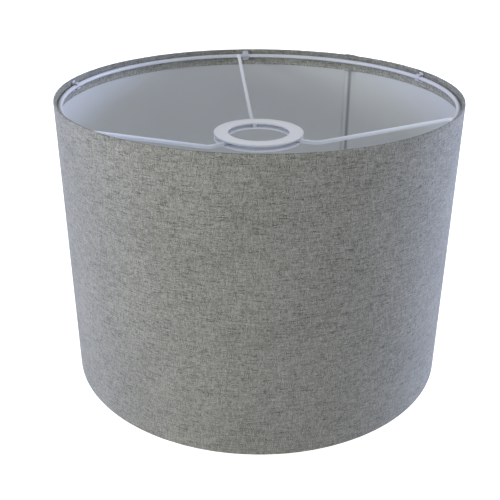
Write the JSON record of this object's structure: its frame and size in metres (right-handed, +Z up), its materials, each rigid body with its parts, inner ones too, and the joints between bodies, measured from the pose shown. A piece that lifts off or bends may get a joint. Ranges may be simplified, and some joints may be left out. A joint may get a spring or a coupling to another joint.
{
  "type": "lamp shade",
  "caption": "Drum lamp shade: linen-look cloth on a stiff liner, clipped round a wire frame with a flat ring for a lampholder.",
  "frame": {"origin": "centre of the shade's bottom edge, on its axis, on the surface it would stand on", "axes": "+Z up along the shade's axis, towards the edge with the lampholder ring; +Y away from the viewer, +X to the viewer's right"},
  "size_m": [0.28, 0.28, 0.205],
  "materials": {
    "cloth": "plain woven linen-look cloth, matt",
    "liner_sheet": "smooth satin sheet",
    "seam_tape": "clear adhesive tape",
    "clip_nylon": "moulded natural nylon, slightly translucent",
    "coated_wire": "white powder coat, satin"
  },
  "bodies": {
    "shade": {"fabric_cover": "cloth", "liner": "liner_sheet", "lap_seam_tape": "seam_tape", "top_clip_1": "clip_nylon", "top_clip_2": "clip_nylon", "top_clip_3": "clip_nylon", "top_clip_4": "clip_nylon", "top_clip_5": "clip_nylon", "bottom_clip_1": "clip_nylon", "bottom_clip_2": "clip_nylon", "bottom_clip_3": "clip_nylon", "bottom_clip_4": "clip_nylon", "bottom_clip_5": "clip_nylon"},
    "fitter_frame": {"top_hoop": "coated_wire", "rear_arm": "coated_wire", "left_arm": "coated_wire", "right_arm": "coated_wire", "upper_ring_plate": "coated_wire", "lower_ring_plate": "coated_wire"},
    "bottom_hoop": {"bottom_hoop": "coated_wire"}
  },
  "joints": [
    {"name": "fitter_frame_turn", "type": "hinge", "parent": "shade", "child": "fitter_frame", "pos_m": [0, 0, 0.2003], "axis": [0, 0, 1], "range_deg": [-0.6, 16]},
    {"name": "bottom_hoop_turn", "type": "hinge", "parent": "shade", "child": "bottom_hoop", "pos_m": [0, 0, 0.0047], "axis": [0, 0, 1], "continuous": true}
  ]
}
